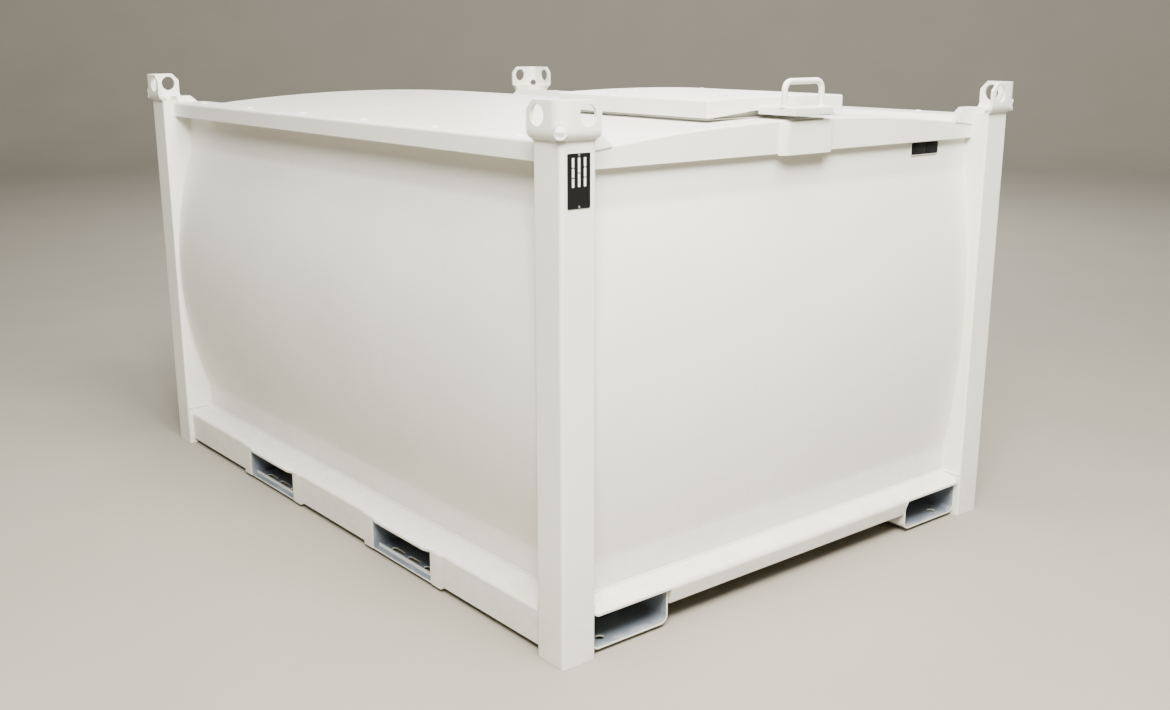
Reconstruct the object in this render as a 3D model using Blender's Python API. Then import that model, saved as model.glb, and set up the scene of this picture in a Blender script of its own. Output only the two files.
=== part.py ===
# A bunded fuel tank: a rectangular double-skinned steel box between four corner posts, with bowed walls,
# a low barrel roof, fork pockets on all four sides, lifting brackets and one hinged lid.
# Metres, +Z up. The long sides face -Y and +Y, the lid's handle is at the +X end, the posts stand at z = 0.
# An inset is measured inwards from the outer face of the posts.

import math

import bmesh
import bpy
from mathutils import Matrix, Vector

for old in list(bpy.data.objects):
    bpy.data.objects.remove(old, do_unlink=True)

# Overall frame
LENGTH = 2.300
WIDTH = 1.660
GAP = 0.0003
SHEET = 0.004
CLEAR = 0.010

# Corner posts
POST = 0.098
POST_TOP = 1.232
POST_WALL = 0.005
POST_RADIUS = 0.0095
POST_FOLD = 0.006
POST_END_PLATE = 0.006
DRAIN_RADIUS = 0.010

# Lifting brackets, measured from the outer corner of the post
BRACKET_TOP = 1.319
BRACKET_LEG = 0.102
BRACKET_PROUD = 0.015
BRACKET_PLATE = 0.009
BRACKET_BEND = 0.016
BRACKET_CURL = 1.256
BRACKET_HEEL = 0.013
BRACKET_CHAMFER = 0.023
BRACKET_ROUND = 0.016
EYE_RADIUS = 0.0235
EYE_FROM_CORNER = 0.064
EYE_HEIGHT = 1.2855
SMALL_EYE_RADIUS = 0.0125
SMALL_EYE_COLLAR = 0.0170
SMALL_EYE_HEIGHT = 1.253

# Walls: flat margins with a bowed field between them
WALL_FOOT = 0.106
BOW_LOW = 0.215
BOW_HIGH = 1.070
BOW_STEPS = 14
SIDE_WALL_INSET = 0.088
SIDE_WALL_BOW = 0.077
END_WALL_INSET = 0.067
END_WALL_BOW = 0.042

# Top rails
SIDE_FASCIA_INSET = 0.038
SIDE_FASCIA_FOOT = 1.178
SIDE_FASCIA_TOP = 1.227
SIDE_FASCIA_RADIUS = 0.008
SIDE_LEDGE_INSET = 0.150
SIDE_LEDGE_DROP = 0.001
VALLEY_INSET = 0.172
END_FASCIA_INSET = 0.050
END_FASCIA_FOOT = 1.161
END_FASCIA_CROWN = 1.244
END_FASCIA_RADIUS = 0.005
END_ARCH_RADIUS = 6.3
ARCH_STEPS = 16

# Corner caps
CAP_TOP = 1.246
CAP_DEPTH = 0.060
CAP_RIGHT_REACH = 0.146
CAP_LEFT_REACH = 0.105
CAP_INNER_REACH = 0.098
CAP_SIDE_REACH = 0.100
CAP_END_INSET = 0.0515
CAP_SIDE_INSET = 0.047
CAP_LEAN = 0.1

# Bottom rails: an upright face with a sloped shoulder that runs up to the wall
SHOULDER_TOP = 0.134
SHOULDER_SLOPE = 0.31
RAIL_LIP = 0.026
FOLD_STEPS = 4
SIDE_FACE_INSET = 0.0145
SIDE_FACE_FOOT = 0.018
SIDE_FACE_LEAN = 0.0015
SIDE_FOLD = 0.010
END_FACE_INSET = 0.002
END_FACE_FOOT = 0.063
END_FACE_LEAN = 0.013
END_FOLD = 0.016

# Brows: the shoulder ends in a short hem over each pocket
BROW_DROP = 0.0075
BROW_FOLD = 0.004
HEM_DEPTH = 0.006
HEM_THICKNESS = 0.0025
SIDE_BROW_INSET = 0.005
SIDE_BROW_TAPER = 0.028
END_BROW_TAPER = 0.012

# Crosswise fork pockets and the pressed frame round each mouth
POCKET_OFFSET = 0.404
POCKET_HALF = 0.156
POCKET_FLOOR = 0.012
POCKET_HEIGHT = 0.089
JAMB_INSET = 0.0115
JAMB_FOOT = 0.011
JAMB_WIDTH = 0.047
JAMB_STEP = 0.009
JAMB_EDGE = 0.0015
SILL_LIP_INSET = 0.031
SILL_LIP_RISE = 0.010
SLOT_INSET = 0.054
SLOT_PITCH = 0.085
SLOT_LENGTH = 0.058
SLOT_WIDTH = 0.016

# Lengthwise fork channels
CHANNEL_OUTER = POST + 0.0025
CHANNEL_INNER = 0.348
CHANNEL_BEND = 0.022
CHANNEL_SHEET = 0.005
CHANNEL_DRAIN_INSET = 0.055
CHANNEL_DRAIN_FROM_SIDE = 0.158
CHANNEL_DRAIN_RADIUS = 0.012
CROSSING_SILL = 0.032

# Hatch, lid, hasp and handle
LID_FRONT = 1.008
LID_REAR = 0.412
LID_HALF = 0.257
LID_FOOT = 1.250
LID_EDGE = 1.294
LID_CROWN = 1.299
LID_SHEET = 0.003
LID_STEPS = 10
RELIEF_HALF = 0.248
RELIEF_FLAT = 0.092
RELIEF_TOP = 1.264
WELL_MARGIN = 0.025
WELL_REAR_MARGIN = 0.036
WELL_FLOOR = 0.960
WELL_TOP = 1.270
WELL_FLANGE = 0.012
HASP_FRONT = 1.130
HASP_HALF = 0.075
HASP_TOP = 1.2755
HASP_FOOT = 1.255
HANDLE_X = 1.090
HANDLE_HALF = 0.070
HANDLE_TOP = 1.338
HANDLE_BAR_RADIUS = 0.008
HANDLE_BEND = 0.022

# Lock guard under the hasp
GUARD_PROUD = 0.015
GUARD_HALF = 0.090
GUARD_SHEET = 0.003
GUARD_SPLAY = 0.020
GUARD_MARGIN = 0.004

# Port in the right end wall, (y, z) corners
PORT_LOW = (0.472, 1.128)
PORT_HIGH = (0.586, 1.154)
PORT_RADIUS = 0.009
PORT_LINER = 0.003
PORT_RIM = 0.006
PORT_DEPTH = 0.050

# Data plate on the near post, (y, z) corners
PLATE_LOW = (-0.813, 1.087)
PLATE_HIGH = (-0.750, 1.206)
PLATE_THICKNESS = 0.0015

# Lid hinge
HINGE_X = 0.400
HINGE_Z = 1.264
HINGE_OFFSET = 0.130
HINGE_HALF = 0.025
HINGE_LEAF_TOP = 1.290
KNUCKLE_RADIUS = 0.0065
PIN_RADIUS = 0.0030
CHEEK_NEAR = 0.026
CHEEK_FAR = 0.034
BASE_TAIL = 0.030

CORNERS = {
    "front_right": (1, -1),
    "rear_right": (1, 1),
    "rear_left": (-1, 1),
    "front_left": (-1, -1),
}
SIDES = {"front": -1, "rear": 1}
ENDS = {"right": 1, "left": -1}


def material(name, colour, roughness, metallic):
    made = bpy.data.materials.new(name)
    made.use_nodes = True
    shader = made.node_tree.nodes["Principled BSDF"]
    shader.inputs["Base Color"].default_value = (*colour, 1.0)
    shader.inputs["Roughness"].default_value = roughness
    shader.inputs["Metallic"].default_value = metallic
    return made


white_paint = material("white_paint", (0.78, 0.78, 0.74), 0.4, 0.0)
black_plate = material("black_anodised_plate", (0.02, 0.02, 0.02), 0.4, 0.2)
black_rubber = material("black_rubber", (0.03, 0.03, 0.03), 0.7, 0.0)


def as_object(name, mesh, finish):
    bmesh.ops.recalc_face_normals(mesh, faces=mesh.faces)
    data = bpy.data.meshes.new(name)
    mesh.to_mesh(data)
    mesh.free()
    data.materials.append(finish)
    data.shade_smooth()
    data.set_sharp_from_angle(angle=math.radians(25))
    made = bpy.data.objects.new(name, data)
    bpy.context.scene.collection.objects.link(made)
    return made


def loft(name, rings, finish=white_paint):
    """Skin through rings of equal point counts, closed at both ends."""
    mesh = bmesh.new()
    rows = [[mesh.verts.new(point) for point in ring] for ring in rings]
    for near, far in zip(rows, rows[1:]):
        for i in range(len(near)):
            j = (i + 1) % len(near)
            mesh.faces.new((near[i], near[j], far[j], far[i]))
    mesh.faces.new(rows[0])
    mesh.faces.new(rows[-1][::-1])
    return as_object(name, mesh, finish)


def prism(name, outline, travel, finish):
    """A flat outline of world points drawn out along a vector."""
    mesh = bmesh.new()
    face = mesh.faces.new([mesh.verts.new(point) for point in outline])
    drawn = bmesh.ops.extrude_face_region(mesh, geom=[face])
    moved = [part for part in drawn["geom"] if isinstance(part, bmesh.types.BMVert)]
    bmesh.ops.translate(mesh, vec=travel, verts=moved)
    return as_object(name, mesh, finish)


def along_x(name, outline, start, end, finish=white_paint):
    """A (y, z) outline drawn out along X."""
    return prism(name, [(start, y, z) for y, z in outline], (end - start, 0, 0), finish)


def along_y(name, outline, start, end, finish=white_paint):
    """An (x, z) outline drawn out along Y."""
    return prism(name, [(x, start, z) for x, z in outline], (0, end - start, 0), finish)


def along_z(name, outline, start, end, finish=white_paint):
    """An (x, y) outline drawn out along Z."""
    return prism(name, [(x, y, start) for x, y in outline], (0, 0, end - start), finish)


def rectangle(low, high):
    return [(low[0], low[1]), (high[0], low[1]), (high[0], high[1]), (low[0], high[1])]


def box(name, low, high, finish=white_paint):
    return along_z(name, rectangle(low, high), low[2], high[2], finish)


def circle(centre, radius, steps):
    turns = [2 * math.pi * (i + 0.5) / steps for i in range(steps)]
    return [(centre[0] + radius * math.cos(t), centre[1] + radius * math.sin(t)) for t in turns]


def fillet(before, corner, after, radius, steps):
    """Points of the arc that rounds a corner between its two neighbours."""
    corner = Vector(corner)
    back = (Vector(before) - corner).normalized()
    ahead = (Vector(after) - corner).normalized()
    half = back.angle(ahead) / 2
    centre = corner + (back + ahead).normalized() * (radius / math.sin(half))
    start = corner + back * (radius / math.tan(half)) - centre
    sweep = math.copysign(math.pi - 2 * half, back.cross(ahead))
    return [tuple(centre + Matrix.Rotation(-sweep * i / steps, 2) @ start) for i in range(steps + 1)]


def filleted(corners, radii, steps=4):
    """A closed outline through corners, each rounded by its own radius, where 0 leaves it sharp."""
    points = []
    for i, (corner, radius) in enumerate(zip(corners, radii)):
        if radius:
            points += fillet(corners[i - 1], corner, corners[(i + 1) % len(corners)], radius, steps)
        else:
            points.append(corner)
    return points


def rounded_rectangle(low, high, radius, steps=4):
    return filleted(rectangle(low, high), [radius] * 4, steps)


def boolean(target, tool, operation):
    step = target.modifiers.new(operation.lower(), "BOOLEAN")
    step.operation = operation
    step.solver = "EXACT"
    step.object = tool
    tool.hide_render = True
    tool.display_type = "WIRE"


def cut(target, *tools):
    for tool in tools:
        boolean(target, tool, "DIFFERENCE")
    return target


def fuse(target, *others):
    for other in others:
        boolean(target, other, "UNION")
    return target


def baked(target):
    """The object's evaluated mesh in place of its own, with the tools of its modifiers removed."""
    tools = [step.object for step in target.modifiers]
    graph = bpy.context.evaluated_depsgraph_get()
    shape = bpy.data.meshes.new_from_object(target.evaluated_get(graph))
    target.modifiers.clear()
    target.data = shape
    for tool in tools:
        bpy.data.objects.remove(tool, do_unlink=True)
    return target


def from_end(end, inset):
    return end * (LENGTH / 2 - inset)


def from_side(side, inset):
    return side * (WIDTH / 2 - inset)


def end_arch(y):
    """Height of the roof and of the end rails at a distance from the middle line."""
    return END_FASCIA_CROWN - y * y / (2 * END_ARCH_RADIUS)


def ledge_top(inset):
    """Height of the side ledge's upper face, which falls slightly inward."""
    run = SIDE_LEDGE_INSET - SIDE_FASCIA_INSET
    return SIDE_FASCIA_TOP - SIDE_LEDGE_DROP * (inset - SIDE_FASCIA_INSET) / run


def spread(start, end, steps):
    return [start + (end - start) * i / steps for i in range(steps + 1)]


def corner_post(name, end, side):
    """A square folded tube with a rounder outer corner, closed by end plates."""
    corners = [(0, 0), (POST, 0), (POST, POST), (0, POST)]
    outline = filleted(corners, [POST_RADIUS] + [POST_FOLD] * 3)
    low, high = POST_WALL, POST - POST_WALL
    inner_corners = [(low, low), (high, low), (high, high), (low, high)]
    inner = filleted(inner_corners, [POST_RADIUS - POST_WALL] + [POST_FOLD - POST_WALL] * 3)

    def placed(points):
        return [(from_end(end, a), from_side(side, b)) for a, b in points]

    post = along_z(name, placed(outline), 0, POST_TOP)
    hollow = along_z(name + "_hollow", placed(inner), POST_END_PLATE, POST_TOP - POST_END_PLATE)
    middle = (from_end(end, POST / 2), from_side(side, POST / 2))
    drain = along_z(name + "_drain", circle(middle, DRAIN_RADIUS, 12), -CLEAR, POST_END_PLATE + CLEAR)
    return cut(post, hollow, drain)


def bracket_section():
    """(outward, z) points of the bent plate: a flat upright that curls under and in, onto the post's top."""
    out = BRACKET_PROUD
    inner = BRACKET_PROUD - BRACKET_PLATE
    foot = POST_TOP + GAP
    drop = BRACKET_CURL - foot
    outside = [(out, BRACKET_TOP)]
    inside = [(inner, BRACKET_TOP)]
    for turn in spread(0, math.radians(90), 6):
        outside.append((out * math.cos(turn), BRACKET_CURL - drop * math.sin(turn)))
        reach = (inner + BRACKET_HEEL) * (1 - math.cos(turn))
        inside.append((inner - reach, BRACKET_CURL - (drop - BRACKET_PLATE) * math.sin(turn)))
    return outside + [(-BRACKET_HEEL, foot)] + inside[::-1]


def bracket_mesh():
    """One bracket about the outer corner of the post at +X, -Y, at the world origin in plan."""
    bend = BRACKET_BEND
    stations = [(-BRACKET_LEG, 0, 0)]
    for turn in spread(0, math.radians(90), 6):
        stations.append((-bend + bend * math.sin(turn), bend - bend * math.cos(turn), turn))
    stations.append((0, BRACKET_LEG, math.radians(90)))
    rings = []
    for x, y, turn in stations:
        away = (math.sin(turn), -math.cos(turn))
        rings.append([(x + o * away[0], y + o * away[1], z) for o, z in bracket_section()])
    plate = loft("bracket", rings)

    far, top, low = BRACKET_LEG + CLEAR, BRACKET_TOP + CLEAR, POST_TOP - 0.002
    eye = circle((-EYE_FROM_CORNER, EYE_HEIGHT), EYE_RADIUS, 24)
    high_corner = [
        (-far, top),
        (-far, BRACKET_TOP - BRACKET_CHAMFER - CLEAR),
        (-BRACKET_LEG + BRACKET_CHAMFER + CLEAR, top),
    ]
    edge, r = -BRACKET_LEG, BRACKET_ROUND
    low_corner = [(-far, low - CLEAR), (-far, low + r)]
    low_corner += fillet((edge, top), (edge, low), (0, low), r, 5)
    low_corner.append((edge + r, low - CLEAR))
    tools = []
    for outline in (eye, high_corner, low_corner):
        tools.append(along_y("tool", outline, -0.03, 0.02))
        tools.append(along_x("tool", [(-u, z) for u, z in outline], -0.02, 0.03))
    collar = along_y("tool", circle((0, SMALL_EYE_HEIGHT), SMALL_EYE_COLLAR, 20), -0.0110, 0.006)
    bore = along_y("tool", circle((0, SMALL_EYE_HEIGHT), SMALL_EYE_RADIUS, 20), -0.04, 0.04)
    for tool in (collar, bore):
        tool.rotation_euler.z = math.radians(45)
    bpy.context.view_layer.update()
    flush = BRACKET_PROUD - 0.0005
    past_end = box("tool", (flush, -far, POST_TOP), (far, far, top))
    past_side = box("tool", (-far, -far, POST_TOP), (far, -flush, top))
    baked(cut(collar, past_end, past_side))
    fuse(cut(plate, *tools), collar)
    return baked(cut(plate, bore))


def bowed(inset, bow, top):
    """(inset, z) points up a wall's outer face: a flat foot, an arc that swells by bow, and a flat head."""
    half = (BOW_HIGH - BOW_LOW) / 2
    radius = (half * half + bow * bow) / (2 * bow)
    middle = (BOW_HIGH + BOW_LOW) / 2
    points = [(inset, WALL_FOOT)]
    for z in spread(BOW_LOW, BOW_HIGH, BOW_STEPS):
        swell = math.sqrt(radius * radius - (z - middle) ** 2) - (radius - bow)
        points.append((inset - max(swell, 0.0), z))
    points.append((inset, top))
    return points


def side_wall(name, side):
    top = ledge_top(SIDE_WALL_INSET + SHEET) - SHEET - GAP
    outer = bowed(SIDE_WALL_INSET, SIDE_WALL_BOW, top)
    outline = [(from_side(side, a), z) for a, z in outer]
    outline += [(from_side(side, a + SHEET), z) for a, z in reversed(outer)]
    return along_x(name, outline, from_end(-1, POST + GAP), from_end(1, POST + GAP))


def end_wall(name, end):
    top = end_arch(WIDTH / 2 - POST) - SHEET - GAP
    outer = bowed(END_WALL_INSET, END_WALL_BOW, top)
    outline = [(from_end(end, a), z) for a, z in outer]
    outline += [(from_end(end, a + SHEET), z) for a, z in reversed(outer)]
    return along_y(name, outline, from_side(-1, POST + GAP), from_side(1, POST + GAP))


def side_top_rail(name, side):
    """A folded fascia with a bolted ledge on top that falls to the valley beside the roof."""
    a, t = SIDE_FASCIA_INSET, SHEET
    foot, top = SIDE_FASCIA_FOOT, SIDE_FASCIA_TOP
    end = SIDE_LEDGE_INSET
    valley = end_arch(WIDTH / 2 - VALLEY_INSET)
    seat = SIDE_WALL_INSET - GAP
    corners = [
        (seat, foot + t),
        (seat, foot),
        (a, foot),
        (a, top),
        (end, ledge_top(end)),
        (VALLEY_INSET, valley),
        (VALLEY_INSET, valley - t),
        (end - 0.002, ledge_top(end) - t),
        (a + t, top - t),
        (a + t, foot + t),
    ]
    r = SIDE_FASCIA_RADIUS
    profile = filleted(corners, [0, 0, 0, r, 0, 0, 0, 0, r - t, 0])
    outline = [(from_side(side, inset), z) for inset, z in profile]
    return along_x(name, outline, from_end(-1, POST + GAP), from_end(1, POST + GAP))


def end_top_rail(name, end):
    """A folded fascia whose top follows the roof's arch."""
    a, t, r = END_FASCIA_INSET, SHEET, END_FASCIA_RADIUS
    seat = END_WALL_INSET - GAP
    rings = []
    for y in spread(from_side(-1, POST + GAP), from_side(1, POST + GAP), ARCH_STEPS):
        top = end_arch(y)
        corners = [
            (seat, END_FASCIA_FOOT + t),
            (seat, END_FASCIA_FOOT),
            (a, END_FASCIA_FOOT),
            (a, top),
            (POST, top),
            (POST, top - t),
            (a + t, top - t),
            (a + t, END_FASCIA_FOOT + t),
        ]
        profile = filleted(corners, [0, 0, 0, r, 0, 0, r - t, 0], 2)
        rings.append([(from_end(end, inset), y, z) for inset, z in profile])
    return loft(name, rings)


def corner_cap(name, end, side):
    """A flat cap with steep slopes, seated on post, rails and roof, which tapers out along the end rail."""
    end_reach = CAP_RIGHT_REACH if end > 0 else CAP_LEFT_REACH
    taper = (end_reach - CAP_INNER_REACH) / (CAP_SIDE_REACH - CAP_END_INSET)
    rings = []
    for splay in (CAP_DEPTH, 0.0):
        near_x = CAP_END_INSET - CAP_LEAN * splay
        near_y = CAP_SIDE_INSET - CAP_LEAN * splay
        far_x = CAP_SIDE_REACH + splay
        slant = [(x, end_reach + splay - taper * (x - CAP_END_INSET)) for x in (far_x, near_x)]
        plan = [(near_x, near_y), (far_x, near_y), *slant]
        rings.append([(from_end(end, a), from_side(side, b), CAP_TOP - splay) for a, b in plan])
    cap = loft(name, rings)

    reach, deep = 0.30, 1.10
    post_side = POST + GAP
    low = [*sorted((from_end(end, -CLEAR), from_end(end, post_side)))]
    wide = [*sorted((from_side(side, -CLEAR), from_side(side, post_side)))]
    over_post = box(name + "_over_post", (low[0], wide[0], deep), (low[1], wide[1], POST_TOP + GAP))
    rail = [
        (-CLEAR, deep),
        (-CLEAR, SIDE_FASCIA_TOP + GAP),
        (SIDE_FASCIA_INSET + SIDE_FASCIA_RADIUS, SIDE_FASCIA_TOP + GAP),
        (SIDE_LEDGE_INSET, ledge_top(SIDE_LEDGE_INSET) + GAP),
        (VALLEY_INSET, end_arch(WIDTH / 2 - VALLEY_INSET) + GAP),
        (VALLEY_INSET, deep),
    ]
    outline = [(from_side(side, inset), z) for inset, z in rail]
    over_rail = along_x(name + "_over_rail", outline, from_end(end, POST - GAP), from_end(end, reach))
    rows = [from_side(side, inset) for inset in spread(POST - GAP, reach, 8)]
    arch = [(y, end_arch(y) + GAP) for y in rows] + [(rows[-1], deep), (rows[0], deep)]
    over_arch = along_x(name + "_over_arch", arch, from_end(end, -CLEAR), from_end(end, reach))
    return baked(cut(cap, over_post, over_rail, over_arch))


def shoulder(inset, wall_inset):
    """Height of a bottom rail's sloped shoulder."""
    return SHOULDER_TOP - SHOULDER_SLOPE * (wall_inset - inset)


def face_section(inset, foot, lean, fold, wall_inset):
    """A full face below the shoulder, with a return lip at its foot."""
    return {
        "fold": (inset, shoulder(inset, wall_inset)),
        "radius": fold,
        "foot": (inset + lean, foot),
        "lip": (RAIL_LIP, SHEET),
    }


def brow_section(inset, wall_inset):
    """A short hem below the shoulder, over a pocket."""
    fold_z = shoulder(inset, wall_inset)
    return {
        "fold": (inset, fold_z),
        "radius": BROW_FOLD,
        "foot": (inset, fold_z - BROW_DROP),
        "lip": (HEM_DEPTH, HEM_THICKNESS),
    }


def section_outline(section, wall_inset):
    """(inset, z) points all round the rail's sheet."""
    t = SHEET
    under = t * math.hypot(1, SHOULDER_SLOPE)
    fold_a, fold_z = section["fold"]
    foot_a, foot_z = section["foot"]
    depth, thick = section["lip"]
    inner_fold = (fold_a + t, fold_z + SHOULDER_SLOPE * t - under)
    corners = [
        (wall_inset, SHOULDER_TOP),
        (fold_a, fold_z),
        (foot_a, foot_z),
        (foot_a + depth, foot_z),
        (foot_a + depth, foot_z + thick),
        (foot_a + t, foot_z + thick),
        inner_fold,
        (wall_inset, SHOULDER_TOP - under),
    ]
    inner_radius = max(section["radius"] - t, HEM_THICKNESS / 4)
    return filleted(corners, [0, section["radius"], 0, 0, 0, 0, inner_radius, 0], FOLD_STEPS)


def side_bottom_rail(name, side):
    """The long rail, pressed outward into a frame round each fork pocket."""
    wall = SIDE_WALL_INSET - GAP
    plain = face_section(SIDE_FACE_INSET, SIDE_FACE_FOOT, SIDE_FACE_LEAN, SIDE_FOLD, wall)
    jamb = face_section(JAMB_INSET, JAMB_FOOT, 0.0, SIDE_FOLD, wall)
    brow_end = brow_section(JAMB_INSET, wall)
    brow = brow_section(SIDE_BROW_INSET, wall)
    edge = POCKET_HALF
    mouth = [
        (-edge - JAMB_WIDTH - JAMB_STEP, plain),
        (-edge - JAMB_WIDTH, jamb),
        (-edge - JAMB_EDGE, jamb),
        (-edge, brow_end),
        (-edge + SIDE_BROW_TAPER, brow),
    ]
    mouth += [(-x, section) for x, section in reversed(mouth)]
    stations = [(from_end(-1, POST + GAP), plain)]
    for centre in (-POCKET_OFFSET, POCKET_OFFSET):
        stations += [(centre + x, section) for x, section in mouth]
    stations.append((from_end(1, POST + GAP), plain))
    rings = []
    for x, section in stations:
        rings.append([(x, from_side(side, a), z) for a, z in section_outline(section, wall)])
    return loft(name, rings)


def end_bottom_rail(name, end):
    """The short rail, which ends in a brow over the mouth of each lengthwise channel."""
    wall = END_WALL_INSET - GAP
    plain = face_section(END_FACE_INSET, END_FACE_FOOT, END_FACE_LEAN, END_FOLD, wall)
    brow = brow_section(END_FACE_INSET, wall)
    brow_end = brow_section(END_FACE_INSET + END_BROW_TAPER, wall)
    post = from_side(1, POST + GAP)
    channel = from_side(1, CHANNEL_INNER + GAP)
    half = [(post, brow_end), (post - END_BROW_TAPER, brow), (channel, brow), (channel - 0.005, plain)]
    stations = half + [(-y, section) for y, section in reversed(half)]
    rings = []
    for y, section in stations:
        rings.append([(from_end(end, a), y, z) for a, z in section_outline(section, wall)])
    return loft(name, rings)


def channel_outline(low, high, top, sheet, bend):
    """A U section, open at the top, with rounded lower corners: (across, z) points."""
    floor = POCKET_FLOOR
    corners = [(low, top), (low, floor), (high, floor), (high, top)]
    inner = [(high - sheet, top), (high - sheet, floor + sheet), (low + sheet, floor + sheet), (low + sheet, top)]
    return filleted(corners + inner, [0, bend, bend, 0, 0, bend - sheet, bend - sheet, 0], 5)


def long_fork_channel(name, side):
    """A lengthwise fork channel with windows in its webs where the crosswise forks pass."""
    near, far = sorted((from_side(side, CHANNEL_OUTER), from_side(side, CHANNEL_INNER)))
    top = WALL_FOOT - GAP
    outline = channel_outline(near, far, top, CHANNEL_SHEET, CHANNEL_BEND)
    reach = LENGTH / 2 - END_FACE_INSET - END_FACE_LEAN
    channel = along_x(name, outline, -reach, reach)
    half = POCKET_HALF - SHEET
    tools = []
    for centre in (-POCKET_OFFSET, POCKET_OFFSET):
        low = (centre - half, near - CLEAR, CROSSING_SILL)
        high = (centre + half, far + CLEAR, top + CLEAR)
        tools.append(box(name + "_crossing", low, high))
    for end in ENDS.values():
        middle = (from_end(end, CHANNEL_DRAIN_INSET), from_side(side, CHANNEL_DRAIN_FROM_SIDE))
        outline = circle(middle, CHANNEL_DRAIN_RADIUS, 16)
        tools.append(along_z(name + "_drain", outline, POCKET_FLOOR - CLEAR, POCKET_FLOOR + CLEAR))
    return cut(channel, *tools)


def cross_fork_channel(name, centre, start, end):
    half = POCKET_HALF - GAP
    top = POCKET_FLOOR + POCKET_HEIGHT
    floor = POCKET_FLOOR + SHEET
    outline = [
        (centre - half, top),
        (centre - half, POCKET_FLOOR),
        (centre + half, POCKET_FLOOR),
        (centre + half, top),
        (centre + half - SHEET, top),
        (centre + half - SHEET, floor),
        (centre - half + SHEET, floor),
        (centre - half + SHEET, top),
    ]
    return along_y(name, outline, start, end)


def pocket_mouth(name, centre, side):
    """A cross channel's stretch outside the lengthwise channel, with a lip angle and slots in its floor."""
    start = from_side(side, JAMB_INSET + 0.0005)
    end = from_side(side, CHANNEL_OUTER - GAP)
    mouth = cross_fork_channel(name, centre, *sorted((start, end)))
    sink = 0.0005
    half = POCKET_HALF - SHEET + sink
    floor = POCKET_FLOOR + SHEET
    low_y, high_y = sorted((from_side(side, SILL_LIP_INSET), from_side(side, SILL_LIP_INSET + SHEET)))
    low = (centre - half, low_y, floor - sink)
    high = (centre + half, high_y, floor + SILL_LIP_RISE)
    lip = box(name + "_lip", low, high)
    slots = []
    for offset in (-SLOT_PITCH, 0.0, SLOT_PITCH):
        x, y = centre + offset, from_side(side, SLOT_INSET)
        ends = (x - SLOT_LENGTH / 2, y - SLOT_WIDTH / 2), (x + SLOT_LENGTH / 2, y + SLOT_WIDTH / 2)
        outline = rounded_rectangle(*ends, SLOT_WIDTH / 2 - sink, 3)
        slots.append(along_z(name + "_slot", outline, POCKET_FLOOR - CLEAR, floor + CLEAR))
    return baked(cut(fuse(mouth, lip), *slots))


def tank_floor():
    half_x = LENGTH / 2 - END_WALL_INSET - SHEET - GAP
    half_y = WIDTH / 2 - POST - GAP
    return box("tank_floor", (-half_x, -half_y, WALL_FOOT), (half_x, half_y, WALL_FOOT + SHEET))


def roof_panel():
    half = WIDTH / 2 - VALLEY_INSET - GAP
    rows = spread(-half, half, ARCH_STEPS)
    outline = [(y, end_arch(y)) for y in rows] + [(y, end_arch(y) - SHEET) for y in reversed(rows)]
    reach = LENGTH / 2 - POST - GAP
    roof = along_x("roof_panel", outline, -reach, reach)
    side = LID_HALF - WELL_MARGIN
    low = (LID_REAR + WELL_REAR_MARGIN, -side, END_FASCIA_CROWN - 5 * CLEAR)
    high = (LID_FRONT - WELL_MARGIN, side, END_FASCIA_CROWN + CLEAR)
    return cut(roof, box("hatch_opening", low, high))


def hatch_well():
    """The upstand under the lid and the recess below it, hung on a flange that lies on the roof's crown."""
    side = LID_HALF - WELL_MARGIN - GAP
    low_x, high_x = LID_REAR + WELL_REAR_MARGIN + GAP, LID_FRONT - WELL_MARGIN - GAP
    well = box("hatch_well", (low_x, -side, WELL_FLOOR), (high_x, side, WELL_TOP))
    f, seat = WELL_FLANGE, END_FASCIA_CROWN + GAP
    flange = box("well_flange", (low_x - f, -side - f, seat), (high_x + f, side + f, seat + LID_SHEET))
    t = SHEET
    inside_low = (low_x + t, -side + t, WELL_FLOOR + t)
    inside = box("well_inside", inside_low, (high_x - t, side - t, WELL_TOP + CLEAR))
    return baked(cut(fuse(well, flange), inside))


def lid_outline(margin, foot):
    """(y, z) points of the lid's section, drawn in by a margin: straight skirts and a crowned top."""
    half = LID_HALF - margin
    points = [(-half, foot), (half, foot)]
    for y in reversed(spread(-half, half, LID_STEPS)):
        fall = (LID_CROWN - LID_EDGE) * (y / LID_HALF) ** 2
        points.append((y, LID_CROWN - fall - margin))
    return points


def access_lid():
    """A pan with skirts; the front and rear skirts are cut away over the roof's crown."""
    t = LID_SHEET
    cover = along_x("access_lid", lid_outline(0, LID_FOOT), LID_REAR, LID_FRONT)
    inside = along_x("lid_inside", lid_outline(t, LID_FOOT - CLEAR), LID_REAR + t, LID_FRONT - t)
    half = [(RELIEF_HALF, LID_FOOT - CLEAR), (RELIEF_HALF, LID_FOOT), (RELIEF_FLAT, RELIEF_TOP)]
    slant = half + [(-y, z) for y, z in reversed(half)]
    front = along_x("lid_front_relief", slant, LID_FRONT - 2 * CLEAR, LID_FRONT + CLEAR)
    rear = along_x("lid_rear_relief", slant, LID_REAR - CLEAR, LID_REAR + 2 * CLEAR)
    return baked(cut(cover, inside, front, rear))


def hasp_flap():
    t = LID_SHEET
    low, high = (LID_FRONT + GAP, -HASP_HALF, HASP_FOOT), (HASP_FRONT, HASP_HALF, HASP_TOP)
    inside_low = (low[0] - CLEAR, low[1] + t, HASP_FOOT - CLEAR)
    inside_high = (HASP_FRONT - t, HASP_HALF - t, HASP_TOP - t)
    return baked(cut(box("hasp_flap", low, high), box("flap_inside", inside_low, inside_high)))


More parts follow.
